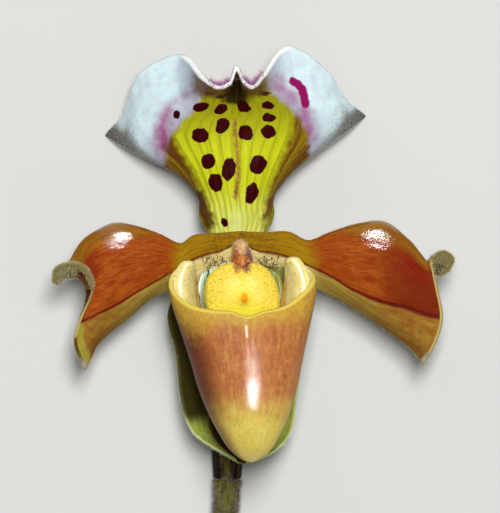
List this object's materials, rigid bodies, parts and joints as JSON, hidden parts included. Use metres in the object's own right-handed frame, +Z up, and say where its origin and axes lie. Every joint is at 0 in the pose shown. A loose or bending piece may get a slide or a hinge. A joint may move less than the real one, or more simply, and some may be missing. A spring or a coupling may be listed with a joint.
{
  "type": "slipper orchid bloom",
  "caption": "Slipper orchid bloom, picked with a length of stalk and lying on its back: hooded spotted sepal, glossy hooked petals, pouch and shield.",
  "frame": {"origin": "centre of the lying bloom's floor area, on the surface that it lies on", "axes": "+Y from the cut stalk to the dorsal sepal, +Z up out of the open face of the bloom, +X to the bloom's right-hand petal as seen from its face"},
  "size_m": [0.08, 0.1538, 0.0381],
  "materials": {
    "stem": "velvety olive-green plant skin with fine hairs",
    "bract": "papery dark brown sheath, hairy at its edges",
    "ovary": "ribbed olive-brown skin with dense short hairs",
    "dorsal_sepal": "satin petal tissue, white lobes, yellow-green middle with maroon spots",
    "synsepal": "satin pale green tissue with green veins and a hairy margin",
    "petal": "glossy, waxy red-brown tissue, veined, tan lower half",
    "pouch": "glossy, waxy salmon-brown tissue, finely streaked, yellow toe and rim",
    "column": "hairy, cream to red-orange",
    "staminode": "granular, waxy bright yellow with an orange knob",
    "anther": "matte sticky pollen",
    "stigma": "matte cream, finely papillose"
  },
  "bodies": {
    "root": {"stem": "stem", "bract": "bract", "ovary": "ovary", "dorsal_sepal": "dorsal_sepal", "synsepal": "synsepal", "petal_left": "petal", "petal_right": "petal", "pouch": "pouch", "column": "column", "staminode": "staminode", "anther_left": "anther", "anther_right": "anther", "stigma": "stigma"}
  },
  "joints": []
}
